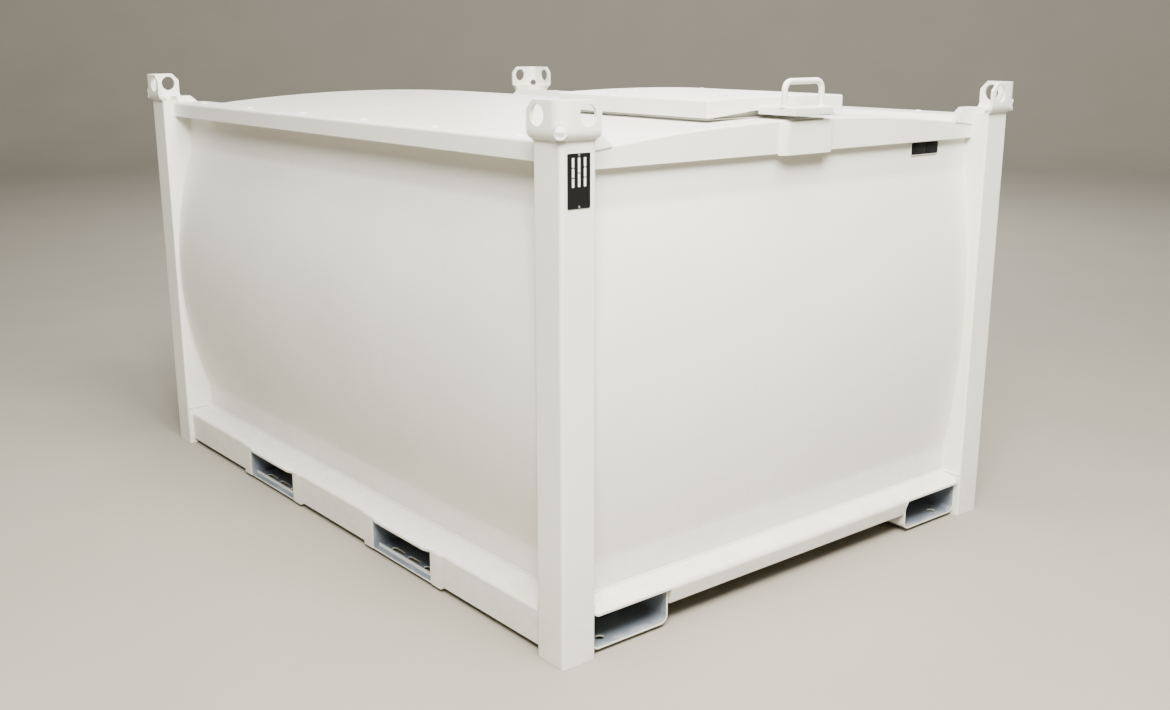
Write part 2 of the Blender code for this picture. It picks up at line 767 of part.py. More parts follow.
def lift_handle():
    """A round bar bent into a U that stands on the hasp."""
    bend = HANDLE_BEND
    path = [(-HANDLE_HALF, HASP_TOP + GAP, 0.0)]
    for turn in spread(0, math.radians(90), 6):
        y = -HANDLE_HALF + bend - bend * math.cos(turn)
        path.append((y, HANDLE_TOP - bend + bend * math.sin(turn), turn))
    path += [(-y, z, math.pi - turn) for y, z, turn in reversed(path)]
    rings = []
    for y, z, turn in path:
        ring = []
        for across, outward in circle((0, 0), HANDLE_BAR_RADIUS, 12):
            ring.append((HANDLE_X + across, y - outward * math.cos(turn), z + outward * math.sin(turn)))
        rings.append(ring)
    return loft("lift_handle", rings)


def lock_guard():
    """A pressed hat section that stands proud of the end fascia below the hasp."""
    face = from_end(1, END_FASCIA_INSET - GAP)
    half, t, splay = GUARD_HALF, GUARD_SHEET, GUARD_SPLAY
    front = face + GUARD_PROUD
    outer = [(face, -half - 2 * t), (front, -half + splay - 2 * t), (front, half), (face, half)]
    inner = [(face, half - t), (front - t, half - t), (front - t, -half + splay - 1.5 * t), (face, -half - t / 3)]
    low, high = END_FASCIA_FOOT - GUARD_MARGIN, end_arch(0) - GUARD_MARGIN
    return along_z("lock_guard", outer + inner, low, high)


def data_plate():
    face = from_end(1, -GAP)
    return box("data_plate", (face, *PLATE_LOW), (face + PLATE_THICKNESS, *PLATE_HIGH), black_plate)


def port_outline(margin, radius):
    """The port's (y, z) outline, drawn in by a margin."""
    low = (PORT_LOW[0] + margin, PORT_LOW[1] + margin)
    high = (PORT_HIGH[0] - margin, PORT_HIGH[1] - margin)
    return rounded_rectangle(low, high, radius)


def port_trim():
    """A rectangular liner through the end wall with a thin outer rim."""
    face = from_end(1, END_WALL_INSET - GAP)
    inner, rim = face - PORT_DEPTH, PORT_RIM
    tube = along_x("port_trim", port_outline(GAP, PORT_RADIUS), inner, face + PORT_LINER, black_rubber)
    flange = along_x("port_rim", port_outline(-rim, PORT_RADIUS + rim), face, face + 0.0025, black_rubber)
    hole = port_outline(GAP + PORT_LINER, PORT_RADIUS - PORT_LINER)
    bore = along_x("port_bore", hole, inner - CLEAR, face + CLEAR, black_rubber)
    return baked(cut(fuse(tube, flange), bore))


def knuckle(name, start, end, radius):
    return along_y(name, circle((HINGE_X, HINGE_Z), radius, 20), start, end)


def hinge_leaf(name, centre):
    """The moving leaf: a plate on the lid's rear skirt and one knuckle between the fixed cheeks."""
    face = LID_REAR - GAP
    t, r, step = LID_SHEET, KNUCKLE_RADIUS, 0.0005
    low, high = centre - HINGE_HALF, centre + HINGE_HALF
    leaf = box(name, (face - t, low, HINGE_Z - t), (face, high, HINGE_LEAF_TOP))
    neck_low = (HINGE_X, low + step, HINGE_Z - t + step)
    neck = box(name + "_neck", neck_low, (face - t / 3, high - step, HINGE_Z + r - step))
    barrel = knuckle(name + "_knuckle", low + 2 * step, high - 2 * step, r)
    bore = knuckle(name + "_bore", low - CLEAR, high + CLEAR, PIN_RADIUS + step)
    return baked(cut(fuse(leaf, neck, barrel), bore))


def hinge_base(name, centre):
    """The fixed leaf: two cheeks that stand on the roof and carry the pin."""
    r, step = KNUCKLE_RADIUS, 0.0005
    foot = end_arch(abs(centre) - CHEEK_FAR) + GAP
    low = (HINGE_X - r - BASE_TAIL, centre - CHEEK_FAR, foot)
    plate = box(name, low, (HINGE_X + r, centre + CHEEK_FAR, foot + SHEET))
    tools = []
    for side in (-1, 1):
        near, far = sorted((centre + side * CHEEK_NEAR, centre + side * (CHEEK_FAR - step)))
        cheek_low = (HINGE_X - r + step, near, foot + 2 * step)
        tools.append(box(name + "_cheek", cheek_low, (HINGE_X + r - step, far, HINGE_Z)))
        tools.append(knuckle(name + "_eye", near + step / 2, far - step / 2, r))
    reach = CHEEK_FAR + PIN_RADIUS
    pin = knuckle(name + "_pin", centre - reach, centre + reach, PIN_RADIUS)
    return baked(fuse(plate, *tools, pin))


for corner, (end, side) in CORNERS.items():
    corner_post("corner_post_" + corner, end, side)
    corner_cap("corner_cap_" + corner, end, side)

bracket = bracket_mesh()
for turn, (corner, (end, side)) in enumerate(CORNERS.items()):
    copy = bpy.data.objects.new("lifting_bracket_" + corner, bracket.data)
    copy.location = (from_end(end, 0), from_side(side, 0), 0)
    copy.rotation_euler.z = math.radians(90 * turn)
    bpy.context.scene.collection.objects.link(copy)
bpy.data.objects.remove(bracket, do_unlink=True)

for name, side in SIDES.items():
    side_wall(name + "_wall", side)
    side_top_rail(name + "_top_rail", side)
    side_bottom_rail(name + "_bottom_rail", side)
    long_fork_channel(name + "_long_fork_channel", side)

end_walls = {name: end_wall(name + "_end_wall", end) for name, end in ENDS.items()}
for name, end in ENDS.items():
    end_top_rail(name + "_end_top_rail", end)
    end_bottom_rail(name + "_end_bottom_rail", end)
    centre = end * POCKET_OFFSET
    for side_name, side in SIDES.items():
        pocket_mouth(side_name + "_" + name + "_pocket_mouth", centre, side)
    inner = WIDTH / 2 - CHANNEL_INNER - GAP
    cross_fork_channel(name + "_cross_fork_channel", centre, -inner, inner)

wall_face = from_end(1, END_WALL_INSET)
port_tool = along_x("port_opening", port_outline(0, PORT_RADIUS), wall_face - 3 * CLEAR, wall_face + 3 * CLEAR)
cut(end_walls["right"], port_tool)
port_trim()

tank_floor()
roof_panel()
hatch_well()
lock_guard()
data_plate()

hinge_line = bpy.data.objects.new("lid_hinge_line", None)
hinge_line.location = (HINGE_X, 0, HINGE_Z)
bpy.context.scene.collection.objects.link(hinge_line)
bpy.context.view_layer.update()
moving = [access_lid(), hasp_flap(), lift_handle()]
for name, side in SIDES.items():
    moving.append(hinge_leaf(name + "_hinge_leaf", side * HINGE_OFFSET))
    hinge_base(name + "_hinge_base", side * HINGE_OFFSET)
for piece in moving:
    piece.parent = hinge_line
    piece.matrix_parent_inverse = hinge_line.matrix_world.inverted()
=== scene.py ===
# A bunded fuel tank in a corner-post frame, white painted sheet steel: every surface's finish and the small
# pieces that the solids leave out. Metres, +Z up, long sides at -Y and +Y, lid handle at the +X end.
import math

import bmesh
import bpy
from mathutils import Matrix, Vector, noise


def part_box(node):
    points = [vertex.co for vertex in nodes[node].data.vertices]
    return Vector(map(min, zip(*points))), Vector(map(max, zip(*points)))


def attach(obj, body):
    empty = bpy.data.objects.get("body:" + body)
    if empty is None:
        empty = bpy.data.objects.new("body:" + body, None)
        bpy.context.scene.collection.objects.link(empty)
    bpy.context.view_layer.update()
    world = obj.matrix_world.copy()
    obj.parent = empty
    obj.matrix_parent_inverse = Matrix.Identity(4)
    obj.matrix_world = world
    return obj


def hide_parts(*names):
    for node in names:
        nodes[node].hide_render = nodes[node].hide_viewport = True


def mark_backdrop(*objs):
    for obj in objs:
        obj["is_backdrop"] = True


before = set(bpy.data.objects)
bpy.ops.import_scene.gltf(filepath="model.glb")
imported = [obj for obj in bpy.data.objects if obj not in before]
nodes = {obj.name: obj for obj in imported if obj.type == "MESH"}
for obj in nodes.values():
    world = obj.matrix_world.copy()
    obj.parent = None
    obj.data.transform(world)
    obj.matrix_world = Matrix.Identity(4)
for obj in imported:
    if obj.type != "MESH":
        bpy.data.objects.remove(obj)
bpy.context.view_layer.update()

ends = {"right": 1, "left": -1}
sides = {"front": -1, "rear": 1}
corners = [(sideName + "_" + endName, endSign, sideSign)
           for sideName, sideSign in sides.items() for endName, endSign in ends.items()]
print("frame loaded,", len(nodes), "nodes")


# Colour and node helpers

def linearColour(hexCode):
    channels = [int(hexCode[i:i + 2], 16) / 255 for i in (1, 3, 5)]
    linear = [c / 12.92 if c <= 0.04045 else ((c + 0.055) / 1.055) ** 2.4 for c in channels]
    return (*linear, 1.0)


def addNode(tree, kind, settings=None, links=None):
    node = tree.nodes.new(kind)
    for key, value in (settings or {}).items():
        if isinstance(key, int) or key in node.inputs:
            node.inputs[key].default_value = value
        else:
            setattr(node, key, value)
    for key, socket in (links or {}).items():
        tree.links.new(socket, node.inputs[key])
    return node


def newMaterial(name, roughness, metallic=0.0):
    made = bpy.data.materials.new(name)
    made.use_nodes = True
    shader = made.node_tree.nodes["Principled BSDF"]
    shader.inputs["Roughness"].default_value = roughness
    shader.inputs["Metallic"].default_value = metallic
    return made, made.node_tree, shader


# Two-pack polyurethane, sprayed over folded and welded sheet: satin, faintly orange-peeled, with road dust
# that settles on what faces up, dust and painted shade that darken it near the ground, and thin rain runs
# down the walls.
paintLook = {
    "colour": "#E3E1D8",
    "shade": "#D8D5CA",
    "dustAndShade": "#B9B2A2",
    "runs": "#CFCBBF",
    "roughness": (0.30, 0.46),
    "peelMm": 5.0,  # real peel is about 2 mm, drawn coarser so that it shows
    "peelDepthMm": 0.016,
    "patchMm": 420,
    "patchShare": 0.55,
    "runMm": 14,
    "runsDown": 1.4,  # waves in a metre of height
    "runShare": 0.22,
    "dustMm": 45,
    "dustAndShadeTop": 0.30,
    "dustAndShadeShare": 0.42,  # at the ground
    "dustOnTops": 0.14,
}


def whitePaintMaterial(look):
    made, tree, shader = newMaterial("satin_two_pack_paint", 0.36)
    shader.inputs["IOR"].default_value = 1.5
    place = addNode(tree, "ShaderNodeTexCoord").outputs["Object"]
    split = addNode(tree, "ShaderNodeSeparateXYZ", links={0: place})
    geometry = addNode(tree, "ShaderNodeNewGeometry")
    facing = addNode(tree, "ShaderNodeSeparateXYZ", links={0: geometry.outputs["Normal"]})

    patches = addNode(tree, "ShaderNodeTexNoise", {"Scale": 1000 / look["patchMm"], "Detail": 3.0},
                      {"Vector": place})
    patchMask = addNode(tree, "ShaderNodeMapRange",
                        {"From Min": 0.35, "From Max": 0.75, "To Max": look["patchShare"]},
                        {"Value": patches.outputs["Fac"]})
    tone = addNode(tree, "ShaderNodeMix", {"data_type": "RGBA", 6: linearColour(look["colour"]),
                                           7: linearColour(look["shade"])}, {0: patchMask.outputs[0]})

    across = 1000 / look["runMm"]
    stretch = addNode(tree, "ShaderNodeMapping", {"Scale": (across, across, look["runsDown"])},
                      {"Vector": place})
    runs = addNode(tree, "ShaderNodeTexNoise", {"Scale": 1.0, "Detail": 4.0}, {"Vector": stretch.outputs[0]})
    runMask = addNode(tree, "ShaderNodeMapRange",
                      {"From Min": 0.56, "From Max": 0.80, "To Max": look["runShare"]},
                      {"Value": runs.outputs["Fac"]})
    streaked = addNode(tree, "ShaderNodeMix", {"data_type": "RGBA", 7: linearColour(look["runs"])},
                       {0: runMask.outputs[0], 6: tone.outputs[2]})

    grains = addNode(tree, "ShaderNodeTexNoise",
                     {"Scale": 1000 / look["dustMm"], "Detail": 8.0, "Roughness": 0.62}, {"Vector": place})
    # painted shade with the dust: the paint darkens towards the ground, speckled by the grains
    low = addNode(tree, "ShaderNodeMapRange",
                  {"From Min": 0.0, "From Max": look["dustAndShadeTop"], "To Min": look["dustAndShadeShare"], "To Max": 0.0},
                  {"Value": split.outputs["Z"]})
    upward = addNode(tree, "ShaderNodeMapRange",
                     {"From Min": 0.75, "From Max": 1.0, "To Max": look["dustOnTops"]},
                     {"Value": facing.outputs["Z"]})
    dustAndShadeAmount = addNode(tree, "ShaderNodeMath", {"operation": "ADD"}, {0: low.outputs[0], 1: upward.outputs[0]})
    speckle = addNode(tree, "ShaderNodeMapRange", {"From Min": 0.30, "From Max": 0.70},
                      {"Value": grains.outputs["Fac"]})
    dustAndShadeMask = addNode(tree, "ShaderNodeMath", {"operation": "MULTIPLY"},
                       {0: dustAndShadeAmount.outputs[0], 1: speckle.outputs[0]})
    dustyAndShaded = addNode(tree, "ShaderNodeMix", {"data_type": "RGBA", 7: linearColour(look["dustAndShade"])},
                    {0: dustAndShadeMask.outputs[0], 6: streaked.outputs[2]})
    tree.links.new(dustyAndShaded.outputs[2], shader.inputs["Base Color"])

    smooth, rough = look["roughness"]
    gloss = addNode(tree, "ShaderNodeMapRange",
                    {"From Min": 0.25, "From Max": 0.75, "To Min": smooth, "To Max": rough},
                    {"Value": grains.outputs["Fac"]})
    tree.links.new(gloss.outputs[0], shader.inputs["Roughness"])

    peel = addNode(tree, "ShaderNodeTexNoise", {"Scale": 1000 / look["peelMm"], "Detail": 2.0},
                   {"Vector": place})
    bump = addNode(tree, "ShaderNodeBump", {"Strength": 1.0, "Distance": look["peelDepthMm"] / 1000},
                   {"Height": peel.outputs["Fac"]})
    tree.links.new(bump.outputs[0], shader.inputs["Normal"])
    return made


# Anodised aluminium sheet, dyed black: flat, satin, with the faint grain of the rolled sheet.
def blackPlateMaterial():
    made, tree, shader = newMaterial("black_anodised_aluminium", 0.34)
    shader.inputs["IOR"].default_value = 1.4
    place = addNode(tree, "ShaderNodeTexCoord").outputs["Object"]
    grain = addNode(tree, "ShaderNodeMapping", {"Scale": (1.0, 120.0, 2400.0)}, {"Vector": place})
    lines = addNode(tree, "ShaderNodeTexNoise", {"Scale": 1.0, "Detail": 3.0}, {"Vector": grain.outputs[0]})
    tone = addNode(tree, "ShaderNodeMix",
                   {"data_type": "RGBA", 6: linearColour("#0B0B0B"), 7: linearColour("#151514")},
                   {0: lines.outputs["Fac"]})
    tree.links.new(tone.outputs[2], shader.inputs["Base Color"])
    gloss = addNode(tree, "ShaderNodeMapRange", {"To Min": 0.28, "To Max": 0.40},
                    {"Value": lines.outputs["Fac"]})
    tree.links.new(gloss.outputs[0], shader.inputs["Roughness"])
    return made


# Silver fields left bare of the dye on the same sheet: pale, slightly brushed.
def paleFieldMaterial():
    made, tree, shader = newMaterial("bare_anodised_aluminium", 0.42)
    place = addNode(tree, "ShaderNodeTexCoord").outputs["Object"]
    cloud = addNode(tree, "ShaderNodeTexNoise", {"Scale": 90.0, "Detail": 2.0}, {"Vector": place})
    tone = addNode(tree, "ShaderNodeMix",
                   {"data_type": "RGBA", 6: linearColour("#F4F3EF"), 7: linearColour("#DCDAD3")},
                   {0: cloud.outputs["Fac"]})
    tree.links.new(tone.outputs[2], shader.inputs["Base Color"])
    return made


# Extruded EPDM rubber: matt black from the carbon in it, greyed a little by bloom.
def blackRubberMaterial():
    made, tree, shader = newMaterial("extruded_black_rubber", 0.80)
    shader.inputs["IOR"].default_value = 1.4
    shader.inputs["Specular IOR Level"].default_value = 0.25
    place = addNode(tree, "ShaderNodeTexCoord").outputs["Object"]
    bloom = addNode(tree, "ShaderNodeTexNoise", {"Scale": 60.0, "Detail": 5.0}, {"Vector": place})
    tone = addNode(tree, "ShaderNodeMix",
                   {"data_type": "RGBA", 6: linearColour("#070708"), 7: linearColour("#101011")},
                   {0: bloom.outputs["Fac"]})
    tree.links.new(tone.outputs[2], shader.inputs["Base Color"])
    bump = addNode(tree, "ShaderNodeBump", {"Distance": 0.00008}, {"Height": bloom.outputs["Fac"]})
    tree.links.new(bump.outputs[0], shader.inputs["Normal"])
    return made


# Insides of the fork channels: a blue-grey epoxy primer, dull, and dark as painted shade for the deep
# channels, with the white topcoat's overspray fading in from the mouths.
def primerAndShadeMaterial(axis, bare, mouth):
    made, tree, shader = newMaterial("painted_shade_on_grey_primer_" + axis.lower(), 0.6)
    place = addNode(tree, "ShaderNodeTexCoord").outputs["Object"]
    split = addNode(tree, "ShaderNodeSeparateXYZ", links={0: place})
    outward = addNode(tree, "ShaderNodeMath", {"operation": "ABSOLUTE"}, {0: split.outputs[axis]})
    cloud = addNode(tree, "ShaderNodeTexNoise", {"Scale": 24.0, "Detail": 6.0}, {"Vector": place})
    drift = addNode(tree, "ShaderNodeMath", {"operation": "MULTIPLY_ADD", 1: 0.05, 2: -0.025},
                    {0: cloud.outputs["Fac"]})
    reach = addNode(tree, "ShaderNodeMath", {"operation": "ADD"},
                    {0: outward.outputs[0], 1: drift.outputs[0]})
    spray = addNode(tree, "ShaderNodeMapRange", {"From Min": bare, "From Max": mouth},
                    {"Value": reach.outputs[0]})
    # painted shade: the primer's dark blue-grey stands in for the shade deep in the channels
    primerShade = addNode(tree, "ShaderNodeMix",
                     {"data_type": "RGBA", 6: linearColour("#5A636D"), 7: linearColour("#6A727B")},
                     {0: cloud.outputs["Fac"]})
    tone = addNode(tree, "ShaderNodeMix", {"data_type": "RGBA", 7: linearColour(paintLook["shade"])},
                   {0: spray.outputs[0], 6: primerShade.outputs[2]})
    tree.links.new(tone.outputs[2], shader.inputs["Base Color"])
    bump = addNode(tree, "ShaderNodeBump", {"Distance": 0.00006}, {"Height": cloud.outputs["Fac"]})
    tree.links.new(bump.outputs[0], shader.inputs["Normal"])
    return made


# Zinc-plated steel rivets: bright, lightly clouded by the plating.
def zincMaterial():
    made, tree, shader = newMaterial("bright_zinc_plate", 0.3, 1.0)
    place = addNode(tree, "ShaderNodeTexCoord").outputs["Object"]
    cloud = addNode(tree, "ShaderNodeTexNoise", {"Scale": 400.0, "Detail": 3.0}, {"Vector": place})
    tone = addNode(tree, "ShaderNodeMix",
                   {"data_type": "RGBA", 6: linearColour("#D9DAD8"), 7: linearColour("#B4B6B5")},
                   {0: cloud.outputs["Fac"]})
    tree.links.new(tone.outputs[2], shader.inputs["Base Color"])
    gloss = addNode(tree, "ShaderNodeMapRange", {"To Min": 0.22, "To Max": 0.40},
                    {"Value": cloud.outputs["Fac"]})
    tree.links.new(gloss.outputs[0], shader.inputs["Roughness"])
    return made


whitePaint = whitePaintMaterial(paintLook)
blackPlate = blackPlateMaterial()
paleField = paleFieldMaterial()
blackRubber = blackRubberMaterial()
zincPlate = zincMaterial()
# the fork channels' insides, darkened as painted shade
longInsideShade = primerAndShadeMaterial("X", 1.113, 1.205)
crossInsideShade = primerAndShadeMaterial("Y", 0.808, 0.895)
print("materials made")


# Mesh helpers
hair = 0.0001  # places nearer than this count as one
mergeReach = 0.00001  # points nearer than this are merged
flatAngle = math.radians(0.4)  # faces that turn less than this are one flat face
softAngle = math.radians(35)
softSegments = 2


def makePiece(name, mesh, finish, sharpAngle=32):
    data = bpy.data.meshes.new(name)
    mesh.to_mesh(data)
    mesh.free()
    data.materials.append(finish)
    data.shade_smooth()
    data.set_sharp_from_angle(angle=math.radians(sharpAngle))
    made = bpy.data.objects.new(name, data)
    bpy.context.scene.collection.objects.link(made)
    return made


def settle(piece, body, slot, *replaced):
    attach(piece, body)
    if replaced:
        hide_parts(*replaced)
    return piece


def evenNormals(piece):
    weights = piece.modifiers.new("even_normals", "WEIGHTED_NORMAL")
    weights.keep_sharp = True
    return piece


def softenEdges(piece, width):
    bevel = piece.modifiers.new("soft_edges", "BEVEL")
    bevel.width = width
    bevel.segments = softSegments
    bevel.limit_method = "ANGLE"
    bevel.angle_limit = softAngle
    bevel.use_clamp_overlap = True
    bevel.harden_normals = True
    return evenNormals(piece)


def mergedCopy(node):
    # the solid comes as loose triangles: they are joined, and flat runs become single faces
    mesh = bmesh.new()
    mesh.from_mesh(nodes[node].data)
    bmesh.ops.remove_doubles(mesh, verts=mesh.verts, dist=mergeReach)
    bmesh.ops.dissolve_limit(mesh, angle_limit=flatAngle, verts=mesh.verts, edges=mesh.edges)
    return mesh


def prism(outline, travel):
    # a flat outline drawn out along a vector
    mesh = bmesh.new()
    face = mesh.faces.new([mesh.verts.new(point) for point in outline])
    drawn = bmesh.ops.extrude_face_region(mesh, geom=[face])
    moved = [part for part in drawn["geom"] if isinstance(part, bmesh.types.BMVert)]
    bmesh.ops.translate(mesh, vec=travel, verts=moved)
    bmesh.ops.recalc_face_normals(mesh, faces=mesh.faces)
    return mesh


def block(low, high):
    low, high = Vector(low), Vector(high)
    mesh = bmesh.new()
    bmesh.ops.create_cube(mesh, size=1.0)
    bmesh.ops.scale(mesh, vec=high - low, verts=mesh.verts)
    bmesh.ops.translate(mesh, vec=(low + high) / 2, verts=mesh.verts)
    return mesh


def edgesAlongX(mesh):
    return [e for e in mesh.edges if abs(e.verts[0].co.x - e.verts[1].co.x) > hair]


def roundEdges(mesh, edges, radius, segments=4):
    bmesh.ops.bevel(mesh, geom=edges, offset=radius, offset_type="OFFSET", segments=segments, profile=0.5,
                    affect="EDGES", material=-1, clamp_overlap=True)


def cutAcross(mesh, faces, along, low, high, parts):
    # cuts a field of faces into strips across its length
    for i in range(1, parts):
        place, facing = Vector((0, 0, 0)), Vector((0, 0, 0))
        place[along], facing[along] = low + (high - low) * i / parts, 1.0
        field = [f for f in mesh.faces if faces(f)]
        rims = dict.fromkeys(e for f in field for e in f.edges)
        tips = dict.fromkeys(v for f in field for v in f.verts)
        bmesh.ops.bisect_plane(mesh, geom=[*field, *rims, *tips], dist=mergeReach, plane_co=place,
                               plane_no=facing)


def ringAt(mesh, centre, direction, radius, sides):
    ring = bmesh.ops.create_circle(mesh, cap_ends=False, radius=radius, segments=sides)["verts"]
    turn = Vector((0, 0, 1)).rotation_difference(Vector(direction)).to_matrix()
    bmesh.ops.rotate(mesh, cent=(0, 0, 0), matrix=turn, verts=ring)
    bmesh.ops.translate(mesh, vec=centre, verts=ring)
    return [*ring, *dict.fromkeys(e for v in ring for e in v.link_edges)]


def drawOn(mesh, ring, travel=(0, 0, 0), steps=1, centre=(0, 0, 0), axis=(0, 0, 1), angle=0.0):
    # extends a swept shape from its last ring, by a straight run or by a turn about an axis
    made = bmesh.ops.spin(mesh, geom=ring, cent=centre, axis=axis, dvec=Vector(travel) / steps, angle=angle,
                          steps=steps, use_duplicate=False)
    return made["geom_last"]


def foldSheet(piece, thickness):
    solid = piece.modifiers.new("sheet", "SOLIDIFY")
    solid.thickness = thickness
    solid.offset = -1.0
    solid.use_even_offset = True
    return evenNormals(piece)


def joined(parts):
    # several small meshes as one
    whole = bmesh.new()
    for part in parts:
        carrier = bpy.data.meshes.new("carrier")
        part.to_mesh(carrier)
        part.free()
        whole.from_mesh(carrier)
        bpy.data.meshes.remove(carrier)
    return whole


# Painted frame and panels: the solids' own shapes with folded edges eased. The faces inside the fork channels
# keep the primer colour that paints their shade.
frameEdges = {
    "corner_post": 0.0012,
    "corner_cap": 0.0018,
    "top_rail": 0.0010,
    "bottom_rail": 0.0008,
    "fork_channel": 0.0010,
    "pocket_mouth": 0.0009,
    "hinge": 0.0005,
    "panel": 0.0008,
}
primedShadedFaces = {"depth": 0.003, "facing": 0.5}


def dress(node, edge, body="tank", inside=None, along=0):
    mesh = mergedCopy(node)
    if inside:
        low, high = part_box(node)
        for face in mesh.faces:
            spot = face.calc_center_median()
            depth = min(min(spot[i] - low[i], high[i] - spot[i]) for i in (0, 1, 2) if i != along)
            if depth > primedShadedFaces["depth"] and abs(face.normal[along]) < primedShadedFaces["facing"]:
                face.material_index = 1
    piece = makePiece(node + "_painted", mesh, whitePaint)
    if inside:
        piece.data.materials.append(inside)
    return settle(softenEdges(piece, edge), body, "white_paint", node)


for corner, endSign, sideSign in corners:
    dress("corner_post_" + corner, frameEdges["corner_post"])
    dress("corner_cap_" + corner, frameEdges["corner_cap"])
for sideName in sides:
    dress(sideName + "_top_rail", frameEdges["top_rail"])
    dress(sideName + "_bottom_rail", frameEdges["bottom_rail"])
    dress(sideName + "_long_fork_channel", frameEdges["fork_channel"], inside=longInsideShade, along=0)
    dress(sideName + "_hinge_base", frameEdges["hinge"])
    dress(sideName + "_hinge_leaf", frameEdges["hinge"], body="lid")
for endName in ends:
    dress(endName + "_end_top_rail", frameEdges["top_rail"])
    dress(endName + "_end_bottom_rail", frameEdges["bottom_rail"])
    dress(endName + "_cross_fork_channel", frameEdges["fork_channel"], inside=crossInsideShade, along=1)
    for sideName in sides:
        mouth = sideName + "_" + endName + "_pocket_mouth"
        dress(mouth, frameEdges["pocket_mouth"], inside=crossInsideShade, along=1)
for plain in ("tank_floor", "roof_panel", "hatch_well"):
    dress(plain, frameEdges["panel"])
print("frame, rails and channels dressed")


# Lifting brackets: thick plate bent round the post's corner, its flame-cut edges ground round everywhere but
# at the small eye, whose welded collar stays square.
bracketLook = {
    "grind": 0.0012,
    "grindSteps": 3,
    "sharp": 35,
    "eyeHeight": 1.253,
    "eyeReach": 0.0225,
    "legReach": 0.050,
    "sliver": 0.0007,
}


def liftingBracket(corner, endSign, sideSign):
    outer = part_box("corner_post_rear_right")[1]
    eye = Vector((endSign * outer.x, sideSign * outer.y, bracketLook["eyeHeight"]))
    axis = Vector((endSign, sideSign, 0)).normalized()
    mesh = mergedCopy("lifting_bracket_" + corner)

    def fromEye(vert):
        gap = vert.co - eye
        return (gap - axis * gap.dot(axis)).length

    # the cuts leave a few slivers on the legs, too short to round
    legs = [v for v in mesh.verts if fromEye(v) > bracketLook["legReach"]]
    bmesh.ops.remove_doubles(mesh, verts=legs, dist=bracketLook["sliver"])
    ground = [e for e in mesh.edges if len(e.link_faces) == 2
              and e.calc_face_angle() > math.radians(bracketLook["sharp"])
              and min(fromEye(v) for v in e.verts) > bracketLook["eyeReach"]]
    roundEdges(mesh, ground, bracketLook["grind"], bracketLook["grindSteps"])
    piece = evenNormals(makePiece("lifting_bracket_" + corner + "_painted", mesh, whitePaint))
    return settle(piece, "tank", "white_paint", "lifting_bracket_" + corner)


for corner, endSign, sideSign in corners:
    liftingBracket(corner, endSign, sideSign)


# Bowed walls: a flat foot and head with a soft fold to the bowed field. A large sheet is never quite flat,
# so each one wanders by part of a millimetre.
wallLook = {
    "low": 0.215,
    "high": 1.070,
    "sideFace": 0.742,
    "sideBow": 0.077,
    "endFace": 1.083,
    "endBow": 0.042,
    "parts": 26,
    "fold": 0.009,
    "foldSteps": 3,
    "foldAngles": (6, 45),
    "longEdge": 0.3,
    "waveMm": 330,
    "waveDepthMm": 0.8,
    "fade": 0.10,
}


def inBow(face):
    reach = 2 * wallLook["fold"]
    return all(wallLook["low"] - reach < v.co.z < wallLook["high"] + reach for v in face.verts)


def bowedWall(node, along, across):
    mesh = mergedCopy(node)
    mesh.normal_update()
    least, most = (math.radians(angle) for angle in wallLook["foldAngles"])
    folds = [e for e in mesh.edges if len(e.link_faces) == 2
             and abs(e.verts[0].co[along] - e.verts[1].co[along]) > wallLook["longEdge"]
             and least < e.calc_face_angle() < most]
    roundEdges(mesh, folds, wallLook["fold"], wallLook["foldSteps"])
    low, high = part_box(node)
    cutAcross(mesh, inBow, along, low[along], high[along], wallLook["parts"])
    for vert in mesh.verts:
        toEdge = min(vert.co[along] - low[along], high[along] - vert.co[along], vert.co.z - wallLook["low"],
                     wallLook["high"] - vert.co.z)
        keep = min(max(toEdge / wallLook["fade"], 0.0), 1.0)
        place = vert.co * (1000 / wallLook["waveMm"])
        place[across] = low[across]
        vert.co[across] += noise.noise(place) * keep * wallLook["waveDepthMm"] / 1000
    return settle(evenNormals(makePiece(node + "_sheet", mesh, whitePaint)), "tank", "white_paint", node)


for sideName in sides:
    bowedWall(sideName + "_wall", 0, 1)
for endName in ends:
    bowedWall(endName + "_end_wall", 1, 0)


# Hatch lid: a pan folded from one sheet, its top faintly crowned, its end skirts cut to clear the roof's arch
lidLook = {
    "sheet": 0.003,
    "fold": 0.0045,
    "foldAngle": 60,
    "crown": 0.005,
    "rows": 12,
    "columns": 14,
    "reliefHalf": 0.248,
    "reliefFlat": 0.092,
    "reliefTop": 1.264,
    "waveMm": 210,
    "waveDepthMm": 0.6,
    "waveSink": 0.6,  # keeps the waves below the crown
    "fade": 0.06,
}


